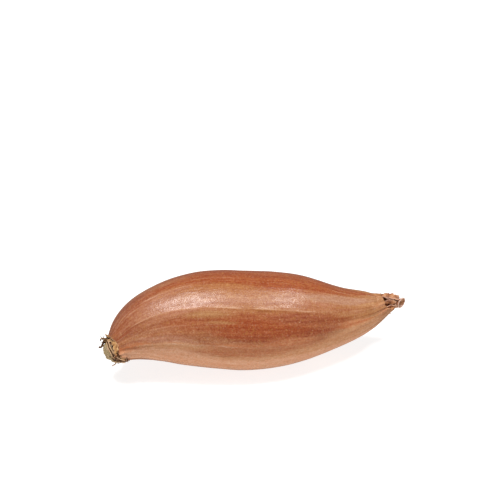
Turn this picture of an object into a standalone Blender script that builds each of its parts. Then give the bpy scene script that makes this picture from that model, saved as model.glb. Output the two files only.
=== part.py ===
"""A whole, dry banana shallot lying on its belly, in metres, +Z up, +X from the root end to the neck.

Each sub-part is one closed solid. The bulb carries the rest: a corky root plate sits in its collar with
torn skin scraps and dried rootlets round it, and torn leaf ends stand in the mouth of its neck.
"""

import bmesh
import bpy
import numpy as np
from math import cos, pi, radians, sin
from mathutils import Matrix, Vector

MM = 0.001

# The bulb's axis, from the root collar to the mouth of the neck: x, y, z and radius, in mm.
STATIONS = np.array((
    (-40.0, -0.4, 12.4, 5.0),
    (-35.0, 1.9, 14.3, 8.6),
    (-28.0, 3.7, 15.9, 11.7),
    (-18.0, 4.3, 16.6, 14.5),
    (-7.0, 3.1, 16.5, 16.1),
    (4.0, 1.0, 15.9, 16.2),
    (15.0, -0.6, 15.8, 15.2),
    (26.0, -1.5, 15.3, 12.3),
    (36.0, -1.6, 15.0, 8.7),
    (44.0, -1.1, 15.5, 5.8),
    (48.5, -0.7, 16.2, 3.7),
    (52.0, -0.5, 17.1, 2.4),
))
BELLY_FLAT = 0.4  # height at which the belly is planed off, where the bulb rests, mm
RINGS, EVEN_SHARE = 49, 0.6  # rings along the bulb, and how evenly they are spread: closer at both ends
AROUND = 40  # points round each ring
LOBES = ((2, 0.012, 0.5), (3, 0.010, 2.1), (5, 0.006, 4.0))  # waves round, share of the radius, phase
PUCKERS, PUCKER_DEPTH, PUCKER_REACH = 10, 0.18, 5.0  # folds drawn in at the collar, mm deep, mm along
PLEATS, PLEAT_DEPTH, PLEAT_REACH = 8, 0.22, 7.0  # folds of the pinched neck
SKIN = 0.4  # thickness of the skin's free edges, mm
COLLAR_RECESS, COLLAR_RECESS_RADIUS = 1.6, 4.45  # seat of the root plate, mm
MOUTH_SLANT, MOUTH_FRONT = 4.2, radians(150)  # how far the mouth's lip is torn back, and where most
MOUTH_DEPTH, MOUTH_FLOOR_RADIUS = 6.4, 1.9  # mm below the tip of the skin
MOUTH_SHARPNESS = 8  # power that keeps the slant of the mouth to the last rings
HOLLOW_STEPS = (0.0, 0.35, 0.7, 1.0)  # rings down into the mouth

# The corky root plate: height over the collar and radius, in mm.
PLATE_PROFILE = (
    (-1.3, 3.8), (-0.4, 4.0), (0.7, 4.1), (1.7, 4.05), (2.4, 3.9), (2.9, 3.55), (3.3, 2.8), (3.5, 1.5),
)
PLATE_AROUND = 28
PLATE_LUMPS = 0.13  # mm

# Torn skin scraps round the root plate: start and span in degrees, length and outward lean in mm.
SCRAPS = (
    (-14, 44, 2.3, 0.9),
    (36, 42, 1.5, 0.5),
    (84, 46, 1.9, 0.4),
    (136, 52, 1.4, 0.7),
    (194, 44, 2.1, 0.5),
    (244, 48, 1.5, 0.8),
    (298, 42, 2.0, 0.4),
)
SCRAP_FOOT, SCRAP_RADIUS = 0.35, 4.85  # over the collar and from its axis, mm
PAPER = 0.32  # thickness of scraps and leaf ends, mm

# Dried rootlets: clock angle, height and distance from the axis where each starts, then how steeply it
# rises, how far it turns up or over and how far it sweeps round, in degrees; length and thickness in mm.
ROOTLETS = (
    (98, 3.3, 3.9, 62, 75, 10, 3.4, 0.62),
    (70, 3.5, 3.0, 50, 70, 40, 3.4, 0.48),
    (-82, 3.1, 4.0, 5, 60, 40, 3.2, 0.46),
    (-46, 3.1, 4.0, 35, 80, -60, 2.2, 0.5),
    (-118, 3.2, 3.8, 55, -70, 50, 2.4, 0.44),
    (158, 3.2, 3.9, 30, -60, 35, 3.0, 0.5),
    (205, 3.7, 2.8, 70, 50, -90, 2.6, 0.44),
    (22, 3.8, 2.2, 80, -60, 120, 1.8, 0.42),
)
ROOTLET_STEPS = 9

# Torn leaf ends in the neck: first and last angle in degrees, then radius and height at the foot and at the
# free end, in mm, and the shift of the free end sideways and up.
LEAF_ENDS = {
    "neck_leaf_top": (-25, 105, 1.42, -1.6, 1.5, 2.5, 0.0, -0.1),
    "neck_leaf_lower": (196, 300, 1.45, -3.4, 1.75, 0.9, 0.0, -0.2),
    "neck_rolled_tip": (-150, 120, 0.55, 0.9, 1.15, 4.3, -0.1, -1.2),
}
INNER_LEAF = ((-5.2, 0.75), (-3.8, 0.95), (-2.0, 0.9), (-0.6, 0.75), (0.3, 0.45))  # height and radius, mm
INNER_LEAF_FLATNESS = 0.65
INNER_LEAF_DROP = 0.35
SHRED = (262, -3.0, 3.85, 5, -40, 20, 1.6, 0.34)  # a loose fibre, as a rootlet
LEAF_STEPS = 10


def clear_scene():
    for thing in list(bpy.data.objects):
        bpy.data.objects.remove(thing, do_unlink=True)


def surface_material(name, colour, roughness):
    material = bpy.data.materials.new(name)
    material.use_nodes = True
    shader = material.node_tree.nodes["Principled BSDF"]
    shader.inputs["Base Color"].default_value = (*colour, 1.0)
    shader.inputs["Roughness"].default_value = roughness
    shader.inputs["Metallic"].default_value = 0.0
    return material


def empty(name, parent=None, place=None):
    """An empty that carries a group of sub-parts."""
    holder = bpy.data.objects.new(name, None)
    bpy.context.collection.objects.link(holder)
    holder.parent = parent
    holder.matrix_basis = place or Matrix()
    return holder


def link(name, data, parent, material):
    """Adds a sub-part to the scene, under the empty that carries it."""
    data.materials.append(material)
    thing = bpy.data.objects.new(name, data)
    thing.parent = parent
    bpy.context.collection.objects.link(thing)
    return thing


def spline_through_stations():
    """The stations' distances along the axis in mm, and the bends of a natural cubic spline there."""
    steps = np.linalg.norm(np.diff(STATIONS[:, :3], axis=0), axis=1)
    slopes = np.diff(STATIONS, axis=0) / steps[:, None]
    count = len(STATIONS)
    system = np.eye(count)
    wanted = np.zeros_like(STATIONS)
    for i in range(1, count - 1):
        system[i, i - 1 : i + 2] = steps[i - 1], 2 * (steps[i - 1] + steps[i]), steps[i]
        wanted[i] = 6 * (slopes[i] - slopes[i - 1])
    return np.concatenate(((0.0,), np.cumsum(steps))), np.linalg.solve(system, wanted)


KNOTS, BENDS = spline_through_stations()
LENGTH = KNOTS[-1]


def axis_at(along):
    """The bulb's centre, radius and direction, along mm from the collar."""
    first = np.clip(np.searchsorted(KNOTS, along, side="right") - 1, 0, len(KNOTS) - 2)
    step = (KNOTS[first + 1] - KNOTS[first])[..., None]
    before = (KNOTS[first + 1] - along)[..., None] / step
    after = 1 - before
    bend = ((before**3 - before) * BENDS[first] + (after**3 - after) * BENDS[first + 1]) * step**2 / 6
    value = before * STATIONS[first] + after * STATIONS[first + 1] + bend
    turn = ((1 - 3 * before**2) * BENDS[first] + (3 * after**2 - 1) * BENDS[first + 1]) * step / 6
    slope = ((STATIONS[first + 1] - STATIONS[first]) / step + turn)[..., :3]
    return value[..., :3], value[..., 3], slope / np.linalg.norm(slope, axis=-1, keepdims=True)


def cross_axes(direction):
    """Two axes across the bulb: one level and towards +Y, one upright."""
    side = np.cross((0.0, 0.0, 1.0), direction)
    side /= np.linalg.norm(side, axis=-1, keepdims=True)
    return side, np.cross(direction, side)


def ring_points(along, angle, radius):
    """Points at a radius from the bulb's axis. Angle 0 is the +Y side, and a quarter turn is the top."""
    centre, _, direction = axis_at(along)
    side, upright = cross_axes(direction)
    spoke = np.cos(angle)[..., None] * side + np.sin(angle)[..., None] * upright
    return centre + radius[..., None] * spoke


def skin_radius(along, angle):
    """The stations' radius with low lobes, puckered at the collar and pleated at the neck."""
    girth = axis_at(along)[1]
    lobes = sum(share * np.cos(waves * angle + phase) for waves, share, phase in LOBES)
    pucker = PUCKER_DEPTH * np.cos(PUCKERS * angle) * np.exp(-along / PUCKER_REACH)
    pleat = PLEAT_DEPTH * np.cos(PLEATS * angle + 1.0) * np.exp((along - LENGTH) / PLEAT_REACH)
    return girth * (1 + lobes) + pucker + pleat


def end_place(along, outward):
    """A matrix on the bulb's axis at one end: Z points out of the bulb and Y upwards."""
    centre, _, direction = axis_at(np.array(along))
    _, upright = cross_axes(direction)
    z_axis = direction * outward
    place = Matrix.Identity(4)
    for column, axis in enumerate((np.cross(upright, z_axis), upright, z_axis, centre * MM)):
        for row in range(3):
            place[row][column] = float(axis[row])
    return place


def ring_faces(rows, around, closed=True):
    """Quads between neighbouring rings of a grid of points."""
    columns = around if closed else around - 1
    row, column = np.indices((rows - 1, columns))
    after = (column + 1) % around
    low, high = row * around, (row + 1) * around
    return np.stack((low + column, low + after, high + after, high + column), axis=-1).reshape(-1, 4)


def loft(name, rings, parent, material):
    """A closed solid through rings of points in mm, with a fan of triangles over each end ring."""
    rows, around = rings.shape[:2]
    hubs = np.stack((rings[0].mean(axis=0), rings[-1].mean(axis=0)))
    points = np.vstack((rings.reshape(-1, 3), hubs)) * MM
    step = np.arange(around)
    after = (step + 1) % around
    last, hub = (rows - 1) * around, rows * around
    start_fan = np.stack((np.full(around, hub), after, step), axis=-1)
    end_fan = np.stack((np.full(around, hub + 1), last + step, last + after), axis=-1)
    faces = ring_faces(rows, around).tolist() + start_fan.tolist() + end_fan.tolist()
    mesh = bpy.data.meshes.new(name)
    mesh.from_pydata(points.tolist(), [], faces)
    mesh.shade_smooth()
    mesh.set_sharp_from_angle(angle=radians(40))
    return link(name, mesh, parent, material)


def paper_sheet(name, points, parent, material):
    """A thin sheet from a grid of points in mm, made solid by a Solidify modifier."""
    rows, columns = points.shape[:2]
    mesh = bpy.data.meshes.new(name)
    mesh.from_pydata((points.reshape(-1, 3) * MM).tolist(), [], ring_faces(rows, columns, False).tolist())
    sheet = link(name, mesh, parent, material)
    solidify = sheet.modifiers.new("paper", "SOLIDIFY")
    solidify.thickness = PAPER * MM
    solidify.offset = 0.0
    return sheet


def plane_belly(mesh):
    """Cuts the underside off level and closes it, so that the bulb rests on a small flat spot."""
    shape = bmesh.new()
    shape.from_mesh(mesh)
    whole = shape.verts[:] + shape.edges[:] + shape.faces[:]
    level = (0, 0, BELLY_FLAT * MM)
    cut = bmesh.ops.bisect_plane(shape, geom=whole, plane_co=level, plane_no=(0, 0, -1), clear_outer=True)
    rim = [part for part in cut["geom_cut"] if isinstance(part, bmesh.types.BMEdge)]
    bmesh.ops.contextual_create(shape, geom=rim)
    bmesh.ops.recalc_face_normals(shape, faces=shape.faces[:])
    shape.to_mesh(mesh)
    shape.free()


def build_bulb(parent, material):
    """The skin from the collar to the slanting mouth, a seat for the root plate and the mouth's hollow."""
    angle = np.linspace(0, 2 * pi, AROUND, endpoint=False)[None, :]
    share = np.linspace(0, 1, RINGS)[:, None]
    along = LENGTH * (EVEN_SHARE * share + (1 - EVEN_SHARE) * (1 - np.cos(pi * share)) / 2)
    torn = MOUTH_SLANT / 2 * (1 + np.cos(angle - MOUTH_FRONT))
    outer_along = along - torn * share**MOUTH_SHARPNESS
    outer = ring_points(outer_along, angle, skin_radius(outer_along, angle))

    rim = LENGTH - torn
    floor = LENGTH - MOUTH_DEPTH
    rim_radius = axis_at(rim)[1] - SKIN
    down = np.array(HOLLOW_STEPS)[:, None]
    hollow_radius = rim_radius + (MOUTH_FLOOR_RADIUS - rim_radius) * down
    hollow = ring_points(rim + (floor - rim) * down, angle, hollow_radius)

    seat_along = np.array((COLLAR_RECESS, 0.0))[:, None] + 0 * angle
    seat_radius = np.array((COLLAR_RECESS_RADIUS, STATIONS[0, 3] - SKIN))[:, None] + 0 * angle
    seat = ring_points(seat_along, angle, seat_radius)
    bulb = loft("bulb", np.concatenate((seat, outer, hollow)), parent, material)
    plane_belly(bulb.data)


def turned(profile, around, lumps=0.0, flatness=1.0, drop=0.0):
    """Rings of a lumpy turned solid: heights and radii, squashed by flatness and moved down by drop."""
    angle = np.linspace(0, 2 * pi, around, endpoint=False)[None, :]
    height = np.array([point[0] for point in profile])[:, None]
    radius = np.array([point[1] for point in profile])[:, None]
    waves = np.sin(3 * angle + 2 * height) + np.sin(7 * angle - 3 * height + 1) * 0.6
    spread = radius + lumps * waves
    rings = (spread * np.cos(angle), spread * np.sin(angle) * flatness - drop, height + 0.5 * lumps * waves)
    return np.stack(rings, axis=-1)


def build_scraps(parent, material):
    """Each scrap stands on the collar's edge, leans out and has a ragged upper edge."""
    for number, (start, span, length, lean) in enumerate(SCRAPS, 1):
        across = np.linspace(0, 1, 8)[None, :]
        up = np.linspace(0, 1, 4)[:, None]
        angle = np.radians(start + span * across) + 0 * up
        ragged = 1 - 0.3 * np.abs(np.sin(2.6 * pi * across + number)) * up
        radius = SCRAP_RADIUS + lean * up**1.5 + 0.12 * np.sin(9 * across + number) * up
        height = SCRAP_FOOT + length * up * ragged
        points = np.stack((radius * np.cos(angle), radius * np.sin(angle), height), axis=-1)
        paper_sheet(f"collar_scrap_{number}", points, parent, material)


def rootlet(name, shape, parent, material):
    """A tapering tube that starts at a clock angle and turns evenly over its length."""
    clock, height, distance, rise, over, sweep, length, thickness = shape
    outward = Vector((cos(radians(clock)), sin(radians(clock)), 0))
    axis = Vector((0, 0, 1))
    level = outward.cross(axis)
    place = outward * distance + axis * height
    heading = outward * cos(radians(rise)) + axis * sin(radians(rise))
    turn = Matrix.Rotation(radians(over / ROOTLET_STEPS), 3, level)
    turn = Matrix.Rotation(radians(sweep / ROOTLET_STEPS), 3, axis) @ turn
    curve = bpy.data.curves.new(name, "CURVE")
    curve.dimensions = "3D"
    curve.bevel_depth = thickness / 2 * MM
    curve.bevel_resolution = 1
    curve.use_fill_caps = True
    spline = curve.splines.new("POLY")
    spline.points.add(ROOTLET_STEPS)
    for step, point in enumerate(spline.points):
        point.co = (*(place * MM), 1)
        point.radius = 1 - 0.55 * step / ROOTLET_STEPS
        place = place + heading * (length / ROOTLET_STEPS)
        heading = turn @ heading
    return link(name, curve, parent, material)


def build_leaf_ends(parent, material):
    """Curved sheets in the mouth of the neck, each part of a cone, with an uneven free end."""
    for name, (first, last, foot, low, brim, high, aside, lift) in LEAF_ENDS.items():
        across = np.linspace(0, 1, LEAF_STEPS)[None, :]
        up = np.linspace(0, 1, 5)[:, None]
        angle = np.radians(first + (last - first) * across) + 0 * up
        radius = foot + (brim - foot) * up
        height = low + (high - low) * up - 0.5 * up * (1 - np.sin(pi * across))
        x = radius * np.cos(angle) + aside * up
        y = radius * np.sin(angle) + lift * up
        paper_sheet(name, np.stack((x, y, height), axis=-1), parent, material)


def world_box(things):
    """Lowest and highest corners of the finished sub-parts."""
    bpy.context.view_layer.update()
    graph = bpy.context.evaluated_depsgraph_get()
    corners = []
    for thing in things:
        finished = thing.evaluated_get(graph)
        mesh = finished.to_mesh()
        points = [finished.matrix_world @ vertex.co for vertex in mesh.vertices]
        corners += [np.min(points, axis=0), np.max(points, axis=0)]
        finished.to_mesh_clear()
    return np.min(corners, axis=0), np.max(corners, axis=0)


def main():
    clear_scene()
    skin = surface_material("dry_skin", (0.46, 0.17, 0.09), 0.45)
    cork = surface_material("root_cork", (0.40, 0.28, 0.15), 0.9)
    root = surface_material("dry_root", (0.16, 0.09, 0.05), 0.85)
    scrap = surface_material("torn_scrap", (0.53, 0.29, 0.14), 0.8)
    leaf = surface_material("leaf_end", (0.42, 0.19, 0.11), 0.7)

    shallot = empty("shallot")
    root_end = empty("root_end", shallot, end_place(0.0, -1))
    neck_end = empty("neck_end", shallot, end_place(LENGTH, 1))

    build_bulb(shallot, skin)
    loft("root_plate", turned(PLATE_PROFILE, PLATE_AROUND, PLATE_LUMPS), root_end, cork)
    build_scraps(root_end, scrap)
    for number, shape in enumerate(ROOTLETS, 1):
        rootlet(f"dry_root_{number}", shape, root_end, root)

    build_leaf_ends(neck_end, leaf)
    inner = turned(INNER_LEAF, 14, 0.05, INNER_LEAF_FLATNESS, INNER_LEAF_DROP)
    loft("neck_leaf_inner", inner, neck_end, leaf)
    rootlet("neck_shred", SHRED, neck_end, leaf)

    # The row's origin is the middle of the underside of the whole part's box.
    low, high = world_box([thing for thing in bpy.data.objects if thing.type != "EMPTY"])
    shallot.location = (-(low[0] + high[0]) / 2, -(low[1] + high[1]) / 2, -low[2])


main()
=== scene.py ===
import bpy
import numpy as np
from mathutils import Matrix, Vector


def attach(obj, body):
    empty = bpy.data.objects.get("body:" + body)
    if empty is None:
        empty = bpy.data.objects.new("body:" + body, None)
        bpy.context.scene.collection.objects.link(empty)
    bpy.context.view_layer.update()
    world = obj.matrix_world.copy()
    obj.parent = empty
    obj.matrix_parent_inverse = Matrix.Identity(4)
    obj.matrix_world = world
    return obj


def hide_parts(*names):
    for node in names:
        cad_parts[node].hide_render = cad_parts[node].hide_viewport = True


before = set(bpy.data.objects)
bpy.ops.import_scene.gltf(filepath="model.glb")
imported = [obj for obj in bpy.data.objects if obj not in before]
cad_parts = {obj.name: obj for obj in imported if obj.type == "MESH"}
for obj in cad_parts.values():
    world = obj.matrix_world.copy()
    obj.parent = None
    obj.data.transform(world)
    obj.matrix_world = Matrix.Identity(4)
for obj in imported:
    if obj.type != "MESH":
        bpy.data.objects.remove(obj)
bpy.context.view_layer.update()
print("frame loaded:", len(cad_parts), "nodes")

mm = 0.001
turn = 2 * np.pi


def waves(seed, size, *axes, count=9):
    # a sum of sine waves in random directions, about size long, between about -1 and 1
    random = np.random.default_rng(seed)
    total = 0
    for _ in range(count):
        way = random.normal(size=len(axes))
        way *= random.uniform(0.7, 1.4) / np.linalg.norm(way)
        phase = random.uniform(0, turn)
        total = total + np.sin(turn / size * sum(w * a for w, a in zip(way, axes)) + phase)
    return total * np.sqrt(2 / count) / 1.6


def smooth(low, high, value):
    # 0 at low, 1 at high, an even S between them and level beyond; low may be the larger
    share = np.clip((value - low) / (high - low), 0, 1)
    return share * share * (3 - 2 * share)


def bell(value, width):
    # a bell curve, 1 in the middle
    return np.exp(-(value / width) ** 2)


def unit(vectors):
    # vectors divided by their lengths
    return vectors / np.maximum(np.linalg.norm(vectors, axis=-1, keepdims=True), 1e-9)


def between(start, angle):
    # how far an angle is past another, from -pi to pi
    return (angle - start + np.pi) % turn - np.pi


def gridFaces(rows, columns, closed):
    # quads between neighbouring rows of a grid; a closed grid joins its last column to its first
    wide = columns if closed else columns - 1
    row, column = np.indices((rows - 1, wide))
    after = (column + 1) % columns
    low, high = row * columns, (row + 1) * columns
    return np.stack((low + column, low + after, high + after, high + column), axis=-1).reshape(-1, 4)


def closedLoft(rings):
    # points and faces of a solid through rings, with a fan of triangles to a hub at each end
    rows, columns = rings.shape[:2]
    points = np.vstack((rings.reshape(-1, 3), rings[0].mean(axis=0), rings[-1].mean(axis=0)))
    step = np.arange(columns)
    after, last, hub = (step + 1) % columns, (rows - 1) * columns, rows * columns
    first = np.stack((np.full(columns, hub), after, step), axis=-1)
    final = np.stack((np.full(columns, hub + 1), last + step, last + after), axis=-1)
    return points, gridFaces(rows, columns, True).tolist() + first.tolist() + final.tolist()


def hubbed(values):
    # a field on rings, with values for the two hubs added
    return np.concatenate((values.ravel(), (values[0].mean(), values[-1].mean())))


def splineThrough(points):
    # a natural cubic spline through rows of numbers; its parameter is the distance between the first three
    points = np.array(points, float)
    steps = np.linalg.norm(np.diff(points[:, :3], axis=0), axis=1)
    slopes = np.diff(points, axis=0) / steps[:, None]
    system, wanted = np.eye(len(points)), np.zeros_like(points)
    for i in range(1, len(points) - 1):
        system[i, i - 1 : i + 2] = steps[i - 1], 2 * (steps[i - 1] + steps[i]), steps[i]
        wanted[i] = 6 * (slopes[i] - slopes[i - 1])
    knots = np.concatenate(((0.0,), np.cumsum(steps)))
    bends = np.linalg.solve(system, wanted)

    def at(distance):
        first = np.clip(np.searchsorted(knots, distance, side="right") - 1, 0, len(knots) - 2)
        step = (knots[first + 1] - knots[first])[..., None]
        before = (knots[first + 1] - distance)[..., None] / step
        after = 1 - before
        bend = ((before**3 - before) * bends[first] + (after**3 - after) * bends[first + 1]) * step**2 / 6
        slope = ((1 - 3 * before**2) * bends[first] + (3 * after**2 - 1) * bends[first + 1]) * step / 6
        value = before * points[first] + after * points[first + 1] + bend
        return value, (points[first + 1] - points[first]) / step + slope

    return at, knots[-1]


def addPiece(name, points, faces, fields, material, slot, replaced, corners=None):
    # a mesh from points in mm, with its attributes, riding on the one body
    mesh = bpy.data.meshes.new(name)
    mesh.from_pydata((points * mm).tolist(), [], [list(face) for face in faces])
    for field, values in fields.items():
        kind, key = ("FLOAT_VECTOR", "vector") if values.ndim == 2 else ("FLOAT", "value")
        mesh.attributes.new(field, kind, "POINT").data.foreach_set(key, values.astype(np.float32).ravel())
    if corners is not None:
        mesh.uv_layers.new(name="OFBake").data.foreach_set("uv", corners.astype(np.float32).ravel())
    mesh.shade_smooth()
    mesh.materials.append(material)
    piece = bpy.data.objects.new(name, mesh)
    bpy.context.collection.objects.link(piece)
    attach(piece, "root")
    if replaced:
        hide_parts(*replaced)
    print(f"{name}: {len(faces)} faces")
    return piece


def joined(parts):
    # several (points, faces, fields) made into one
    offset, points, faces, fields = 0, [], [], {}
    for some, polygons, marks in parts:
        points.append(some)
        faces += [[corner + offset for corner in face] for face in polygons]
        offset += len(some)
        for key, values in marks.items():
            fields.setdefault(key, []).append(values)
    return np.vstack(points), faces, {key: np.concatenate(v) for key, v in fields.items()}


def sheet(points, thickness, **fields):
    # a grid of points given a thickness: it is moved half of it each way along its normals, then edged
    rows, columns = points.shape[:2]
    normal = unit(np.cross(np.gradient(points, axis=1), np.gradient(points, axis=0)))
    half = np.broadcast_to(np.asarray(thickness) / 2, (rows, columns))[..., None]
    push = normal * half
    both = np.concatenate(((points + push).reshape(-1, 3), (points - push).reshape(-1, 3)))
    front = gridFaces(rows, columns, False)
    count = rows * columns
    index = np.arange(count).reshape(rows, columns)
    rim = np.concatenate((index[0, :-1], index[:-1, -1], index[-1, :0:-1], index[:0:-1, 0]))
    after = np.roll(rim, -1)
    edge = np.stack((rim, rim + count, after + count, after), axis=-1)
    faces = np.concatenate((front, front[:, ::-1] + count, edge)).tolist()
    marks = {key: np.tile(np.broadcast_to(v, (rows, columns)).reshape(-1), 2) for key, v in fields.items()}
    marks["side"] = np.repeat((0.0, 1.0), count)
    return both, faces, marks


def tube(path, radius, around=7, **fields):
    # a round tube along a path of points, closed at both ends
    way = unit(np.gradient(path, axis=0))
    side = unit(np.cross(way, (0.31, 0.52, 0.8)))
    upright = np.cross(way, side)
    angle = np.linspace(0, turn, around, endpoint=False)
    spoke = np.cos(angle)[:, None] * side[:, None] + np.sin(angle)[:, None] * upright[:, None]
    points, faces = closedLoft(path[:, None] + radius[:, None, None] * spoke)
    shape = (len(path), around)
    marks = {key: hubbed(np.broadcast_to(np.reshape(v, (-1, 1)), shape)) for key, v in fields.items()}
    return points, faces, marks


class Wire:
    # a value in a material's node tree; arithmetic on it adds Math nodes
    def __init__(self, tree, socket=None):
        self.tree, self.socket = tree, socket

    def node(self, kind, settings=None, sockets=None, out=0):
        # any node: its type, its settings, then the values or wires of its sockets
        made = self.tree.nodes.new("ShaderNode" + kind)
        for name, value in (settings or {}).items():
            if name == "stops":
                ramp = made.color_ramp.elements
                for place, _ in value[1:-1]:
                    ramp.new(place)
                for stop, (place, colour) in zip(ramp, value):
                    stop.position, stop.color = place, (*colour, 1)
            else:
                setattr(made, name, value)
        for name, value in (sockets or {}).items():
            if isinstance(value, Wire):
                self.tree.links.new(value.socket, made.inputs[name])
            else:
                made.inputs[name].default_value = value
        return Wire(self.tree, made.outputs[out])

    def maths(self, operation, *values):
        return self.node("Math", {"operation": operation}, dict(enumerate(values)))

    def __add__(self, other):
        return self.maths("ADD", self, other)

    def __sub__(self, other):
        return self.maths("SUBTRACT", self, other)

    def __rsub__(self, other):
        return self.maths("SUBTRACT", other, self)

    def __mul__(self, other):
        return self.maths("MULTIPLY", self, other)

    __radd__, __rmul__ = __add__, __mul__

    def ramp(self, low, high, first=0.0, last=1.0):
        # first at low, last at high, an even S between them and level beyond
        settings = {"interpolation_type": "SMOOTHSTEP"}
        return self.node("MapRange", settings, {0: self, 1: low, 2: high, 3: first, 4: last})

    def field(self, name, out=2):
        # a vertex attribute: 2 is its number, 1 its vector
        return self.node("Attribute", {"attribute_name": name}, out=out)

    def place(self):
        return self.node("TexCoord", out=3)

    def stretched(self, *scale):
        return self.node("VectorMath", {"operation": "MULTIPLY"}, {0: self, 1: scale})

    def moved(self, *shift):
        return self.node("VectorMath", {"operation": "ADD"}, {0: self, 1: shift})

    def noise(self, scale, detail=2.0, rough=0.5, bent=0.0):
        sockets = {"Scale": scale, "Detail": detail, "Roughness": rough, "Distortion": bent}
        return self.node("TexNoise", {}, {"Vector": self, **sockets})

    def mixed(self, other, share):
        # this colour turned by a share into another of red, green and blue
        return self.node("Mix", {"data_type": "RGBA"}, {0: share, 6: self, 7: (*other, 1)}, out=2)

    def tinted(self, stops):
        # the colour that a ramp of (place, colour) gives to this number
        return self.node("ValToRGB", {"stops": stops}, {0: self})

    def bump(self, height, distance):
        return self.node("Bump", {}, {"Strength": 1.0, "Distance": distance, "Height": height})


def newMaterial(name):
    material = bpy.data.materials.new(name)
    material.use_nodes = True
    return material, Wire(material.node_tree)


def surface(material, **sockets):
    # sets the sockets of the material's shader, to a value or a wire
    tree = material.node_tree
    shader = tree.nodes["Principled BSDF"]
    for name, value in sockets.items():
        target = shader.inputs[name.replace("_", " ")]
        if isinstance(value, Wire):
            tree.links.new(value.socket, target)
        else:
            target.default_value = value
    return material


def flat(wire, colour):
    # a plain colour as the start of a chain of mixes
    return wire.node("Mix", {"data_type": "RGBA"}, {0: 0.0, 6: (*colour, 1), 7: (*colour, 1)}, out=2)


stage = {
    "azimuth": -13.0, "elevation": 30.0,  # degrees, where the camera stands
    "lens": 85.0, "sensor": 36.0,
    "width": 165.0,  # mm across the view at the aim
    "aim": (2.52, 15.85, 31.99),  # mm
    "floorHalf": 4.0,  # m
    "floorGlow": 0.82, "floorColour": (0.40, 0.40, 0.40),
    "air": 0.20,  # strength of the white surroundings as light; in view they are at 1
    # soft boxes: azimuth and elevation from the shallot, distance, width, depth in m, and watts
    "boxes": (
        (0.0, 82.0, 0.62, 0.62, 0.18, 1.72),
        (-78.0, 73.7, 0.62, 0.10, 0.07, 2.05),
        (62.0, 65.0, 0.62, 0.08, 0.07, 1.3),
    ),
}


def direction(azimuth, elevation):
    # the way to something at an azimuth round from the front and an elevation
    a, e = np.radians(azimuth), np.radians(elevation)
    return Vector((np.sin(a) * np.cos(e), -np.cos(a) * np.cos(e), np.sin(e)))


def buildStage():
    back = direction(stage["azimuth"], stage["elevation"])
    away = stage["width"] * mm * stage["lens"] / stage["sensor"]
    lens = bpy.data.cameras.new("camera")
    lens.lens, lens.sensor_width = stage["lens"], stage["sensor"]
    lens.clip_start, lens.clip_end = 0.01, 50
    camera = bpy.data.objects.new("camera", lens)
    camera.location = Vector(stage["aim"]) * mm + back * away
    camera.rotation_euler = back.to_track_quat("Z", "Y").to_euler()
    bpy.context.collection.objects.link(camera)
    bpy.context.scene.camera = camera

    for number, (azimuth, elevation, distance, width, depth, watts) in enumerate(stage["boxes"], 1):
        lamp = bpy.data.lights.new(f"softBox{number}", "AREA")
        lamp.shape, lamp.size, lamp.size_y, lamp.energy = "RECTANGLE", width, depth, watts
        box = bpy.data.objects.new(f"softBox{number}", lamp)
        way = direction(azimuth, elevation)
        box.location = way * distance
        box.rotation_euler = way.to_track_quat("Z", "Y").to_euler()
        bpy.context.collection.objects.link(box)

    world = bpy.data.worlds.new("studioAir")
    bpy.context.scene.world = world
    world.use_nodes = True
    air = Wire(world.node_tree)
    seen = air.node("LightPath").ramp(0.0, 1.0, stage["air"], 1.0)
    world.node_tree.links.new(seen.socket, world.node_tree.nodes["Background"].inputs["Strength"])
    world.node_tree.nodes["Background"].inputs["Color"].default_value = (1, 1, 1, 1)

    half = stage["floorHalf"]
    mesh = bpy.data.meshes.new("floor")
    corners = [(-half, -half, 0), (half, -half, 0), (half, half, 0), (-half, half, 0)]
    mesh.from_pydata(corners, [], [(0, 1, 2, 3)])
    material, start = newMaterial("paleFloor")
    grain = start.place().noise(90.0, 3.0)
    shade = flat(start, stage["floorColour"]).mixed((0.42, 0.42, 0.42), grain)
    surface(material, Base_Color=shade, Roughness=0.9, Specular_IOR_Level=0.2)
    place = start.place()
    reach = place.node("VectorMath", {"operation": "LENGTH"}, {0: place}, out=1)
    glow = reach.ramp(0.25, 0.9, 1.0, 1.2)  # stronger far from the lamps
    surface(material, Emission_Color=glow, Emission_Strength=stage["floorGlow"])
    mesh.materials.append(material)
    floor = bpy.data.objects.new("floor", mesh)
    bpy.context.collection.objects.link(floor)
    floor.visible_glossy = False  # its glare would bleach the skin's lower side
    bpy.context.scene.view_settings.view_transform = "Standard"
    print("stage built")


buildStage()


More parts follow.
